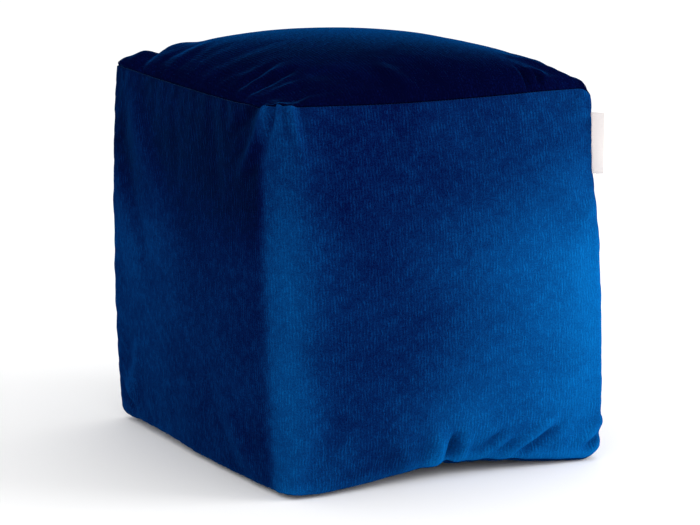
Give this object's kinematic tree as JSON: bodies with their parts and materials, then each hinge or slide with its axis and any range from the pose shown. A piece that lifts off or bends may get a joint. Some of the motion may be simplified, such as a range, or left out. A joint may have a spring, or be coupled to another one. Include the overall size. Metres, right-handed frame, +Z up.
{
  "type": "floor cushion",
  "caption": "Soft cube floor cushion or footstool with a crowned top, velvet cover, zip along its lower back edge and an inner bag of foam beads.",
  "frame": {"origin": "middle of the flat underside, where the cushion rests on the floor", "axes": "+Z up; -Y is the front panel, with the blank side label in the upright seam at its right; +Y is the back panel, with the zip along its lower edge; +X to the right seen from the front"},
  "size_m": [0.3633, 0.3672, 0.412],
  "materials": {
    "velvet": "satin",
    "cover_thread": "satin",
    "zip_tape": "matte",
    "zip_coil": "satin",
    "zip_metal": "polished",
    "label_ribbon": "satin",
    "liner_cloth": "matte",
    "liner_thread": "matte",
    "foam_beads": "matte"
  },
  "bodies": {
    "cushion": {"cover_top_panel": "velvet", "cover_bottom_panel": "velvet", "cover_front_wrap": "velvet", "cover_back_wrap": "velvet", "top_seam_thread": "cover_thread", "bottom_seam_thread": "cover_thread", "right_seam_thread": "cover_thread", "left_seam_thread": "cover_thread", "zipper_tape_upper": "zip_tape", "zipper_tape_lower": "zip_tape", "zipper_coil_upper": "zip_coil", "zipper_coil_lower": "zip_coil", "zipper_top_stops": "zip_metal", "zipper_bottom_stop": "zip_metal", "zipper_stitch_upper": "cover_thread", "zipper_stitch_lower": "cover_thread", "side_label_root": "label_ribbon", "care_label": "label_ribbon", "liner_top_panel": "liner_cloth", "liner_bottom_panel": "liner_cloth", "liner_side_band": "liner_cloth", "liner_top_thread": "liner_thread", "liner_bottom_thread": "liner_thread", "liner_side_thread": "liner_thread", "bead_fill": "foam_beads"},
    "slider": {"zipper_slider": "zip_metal"},
    "pull_tab": {"zipper_pull": "zip_metal"},
    "label_flap": {"side_label": "label_ribbon"}
  },
  "joints": [
    {"name": "zip_slide", "type": "slide", "parent": "cushion", "child": "slider", "axis": [-1, 0, 0], "range_m": [0, 0.268]},
    {"name": "pull_hinge", "type": "hinge", "parent": "slider", "child": "pull_tab", "pos_m": [0.134, 0.1818, 0.0183], "axis": [0, 0, -1], "range_deg": [0, 170]},
    {"name": "label_flex", "type": "hinge", "parent": "cushion", "child": "label_flap", "pos_m": [0.17321, -0.17321, 0.316], "axis": [0, 0, 1], "range_deg": [-85, 85], "stiffness_Nm_per_rad": 0.00002}
  ]
}
